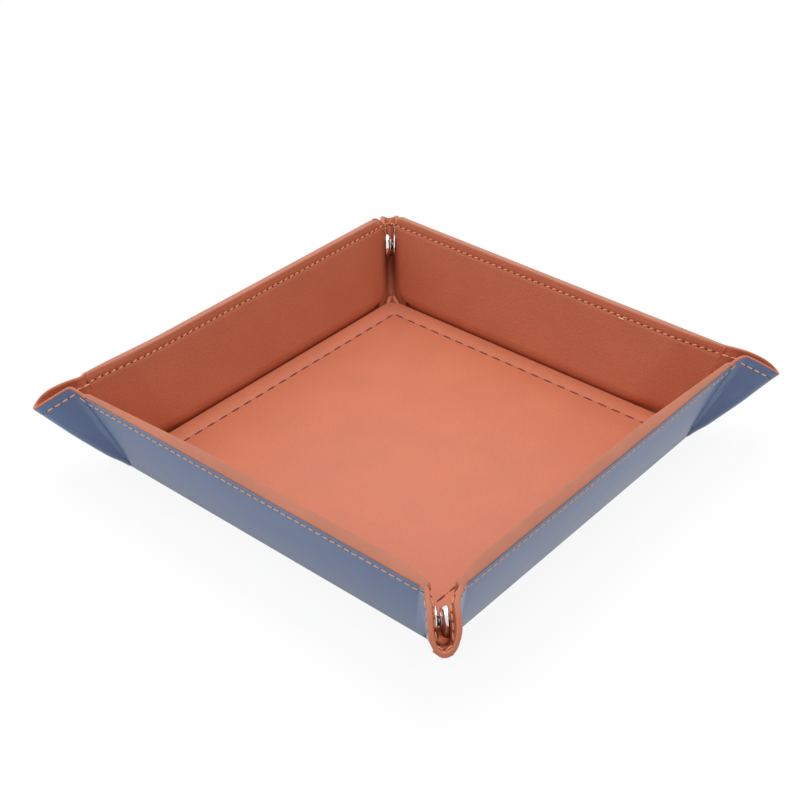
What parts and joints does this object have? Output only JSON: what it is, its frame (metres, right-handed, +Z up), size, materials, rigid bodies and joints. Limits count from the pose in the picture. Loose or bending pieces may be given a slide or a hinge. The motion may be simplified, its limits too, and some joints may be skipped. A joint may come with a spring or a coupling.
{
  "type": "valet tray",
  "caption": "Square catch-all tray of bonded lining and cover sheets: stiffened walls fold up, pinched corner ears close with snap fasteners, and the tray opens out flat.",
  "frame": {"origin": "middle of the underside, on the surface that the tray stands on", "axes": "+Z up; walls along X and Y: right +X, left -X, back +Y, front -Y"},
  "size_m": [0.2218, 0.2218, 0.0401],
  "materials": {
    "lining": "satin",
    "cover": "satin",
    "board": "matte",
    "snap": "polished",
    "rivet": "satin"
  },
  "bodies": {
    "base": {"base_cover": "cover", "base_board": "board", "base_lining": "lining"},
    "right_wall": {"right_wall_cover": "cover", "right_wall_board": "board", "right_wall_lining": "lining"},
    "back_wall": {"back_wall_cover": "cover", "back_wall_board": "board", "back_wall_lining": "lining"},
    "left_wall": {"left_wall_cover": "cover", "left_wall_board": "board", "left_wall_lining": "lining"},
    "front_wall": {"front_wall_cover": "cover", "front_wall_board": "board", "front_wall_lining": "lining"},
    "right_wall_back_flap": {"right_wall_back_flap_lining": "lining", "right_wall_back_flap_cover": "cover", "back_right_snap_stud": "snap", "back_right_snap_stud_post": "rivet"},
    "back_wall_right_flap": {"back_wall_right_flap_lining": "lining", "back_wall_right_flap_cover": "cover", "back_right_snap_socket": "snap", "back_right_snap_socket_post": "rivet"},
    "back_wall_left_flap": {"back_wall_left_flap_lining": "lining", "back_wall_left_flap_cover": "cover", "back_left_snap_stud": "snap", "back_left_snap_stud_post": "rivet"},
    "left_wall_back_flap": {"left_wall_back_flap_lining": "lining", "left_wall_back_flap_cover": "cover", "back_left_snap_socket": "snap", "back_left_snap_socket_post": "rivet"},
    "left_wall_front_flap": {"left_wall_front_flap_lining": "lining", "left_wall_front_flap_cover": "cover", "front_left_snap_stud": "snap", "front_left_snap_stud_post": "rivet"},
    "front_wall_left_flap": {"front_wall_left_flap_lining": "lining", "front_wall_left_flap_cover": "cover", "front_left_snap_socket": "snap", "front_left_snap_socket_post": "rivet"},
    "front_wall_right_flap": {"front_wall_right_flap_lining": "lining", "front_wall_right_flap_cover": "cover", "front_right_snap_stud": "snap", "front_right_snap_stud_post": "rivet"},
    "right_wall_front_flap": {"right_wall_front_flap_lining": "lining", "right_wall_front_flap_cover": "cover", "front_right_snap_socket": "snap", "front_right_snap_socket_post": "rivet"}
  },
  "joints": [
    {"name": "right_wall_fold", "type": "hinge", "parent": "base", "child": "right_wall", "pos_m": [0.085, 0, 0], "axis": [0, 1, 0], "range_deg": [0, 71.2]},
    {"name": "back_wall_fold", "type": "hinge", "parent": "base", "child": "back_wall", "pos_m": [0, 0.085, 0], "axis": [-1, 0, 0], "range_deg": [0, 71.2]},
    {"name": "left_wall_fold", "type": "hinge", "parent": "base", "child": "left_wall", "pos_m": [-0.085, 0, 0], "axis": [0, -1, 0], "range_deg": [0, 71.2]},
    {"name": "front_wall_fold", "type": "hinge", "parent": "base", "child": "front_wall", "pos_m": [0, -0.085, 0], "axis": [1, 0, 0], "range_deg": [0, 71.2]},
    {"name": "right_wall_back_flap_turn", "type": "hinge", "parent": "right_wall", "child": "right_wall_back_flap", "pos_m": [0.08273, 0.07948, 0.00077], "axis": [0.3067, 0.3067, 0.901], "range_deg": [0, 47.99]},
    {"name": "back_wall_right_flap_turn", "type": "hinge", "parent": "back_wall", "child": "back_wall_right_flap", "pos_m": [0.07948, 0.08273, 0.00077], "axis": [-0.3067, -0.3067, -0.901], "range_deg": [0, 47.99]},
    {"name": "back_wall_left_flap_turn", "type": "hinge", "parent": "back_wall", "child": "back_wall_left_flap", "pos_m": [-0.07948, 0.08273, 0.00077], "axis": [-0.3067, 0.3067, 0.901], "range_deg": [0, 47.99]},
    {"name": "left_wall_back_flap_turn", "type": "hinge", "parent": "left_wall", "child": "left_wall_back_flap", "pos_m": [-0.08273, 0.07948, 0.00077], "axis": [0.3067, -0.3067, -0.901], "range_deg": [0, 47.99]},
    {"name": "left_wall_front_flap_turn", "type": "hinge", "parent": "left_wall", "child": "left_wall_front_flap", "pos_m": [-0.08273, -0.07948, 0.00077], "axis": [-0.3067, -0.3067, 0.901], "range_deg": [0, 47.99]},
    {"name": "front_wall_left_flap_turn", "type": "hinge", "parent": "front_wall", "child": "front_wall_left_flap", "pos_m": [-0.07948, -0.08273, 0.00077], "axis": [0.3067, 0.3067, -0.901], "range_deg": [0, 47.99]},
    {"name": "front_wall_right_flap_turn", "type": "hinge", "parent": "front_wall", "child": "front_wall_right_flap", "pos_m": [0.07948, -0.08273, 0.00077], "axis": [0.3067, -0.3067, 0.901], "range_deg": [0, 47.99]},
    {"name": "right_wall_front_flap_turn", "type": "hinge", "parent": "right_wall", "child": "right_wall_front_flap", "pos_m": [0.08273, -0.07948, 0.00077], "axis": [-0.3067, 0.3067, -0.901], "range_deg": [0, 47.99]}
  ],
  "couplings": [
    {"joint": "right_wall_fold", "follows": "front_wall_fold", "ratio": 1},
    {"joint": "back_wall_fold", "follows": "front_wall_fold", "ratio": 1},
    {"joint": "left_wall_fold", "follows": "front_wall_fold", "ratio": 1},
    {"joint": "right_wall_back_flap_turn", "follows": "front_wall_fold", "ratio": 0.67388},
    {"joint": "back_wall_right_flap_turn", "follows": "front_wall_fold", "ratio": 0.67388},
    {"joint": "back_wall_left_flap_turn", "follows": "front_wall_fold", "ratio": 0.67388},
    {"joint": "left_wall_back_flap_turn", "follows": "front_wall_fold", "ratio": 0.67388},
    {"joint": "left_wall_front_flap_turn", "follows": "front_wall_fold", "ratio": 0.67388},
    {"joint": "front_wall_left_flap_turn", "follows": "front_wall_fold", "ratio": 0.67388},
    {"joint": "front_wall_right_flap_turn", "follows": "front_wall_fold", "ratio": 0.67388},
    {"joint": "right_wall_front_flap_turn", "follows": "front_wall_fold", "ratio": 0.67388}
  ]
}
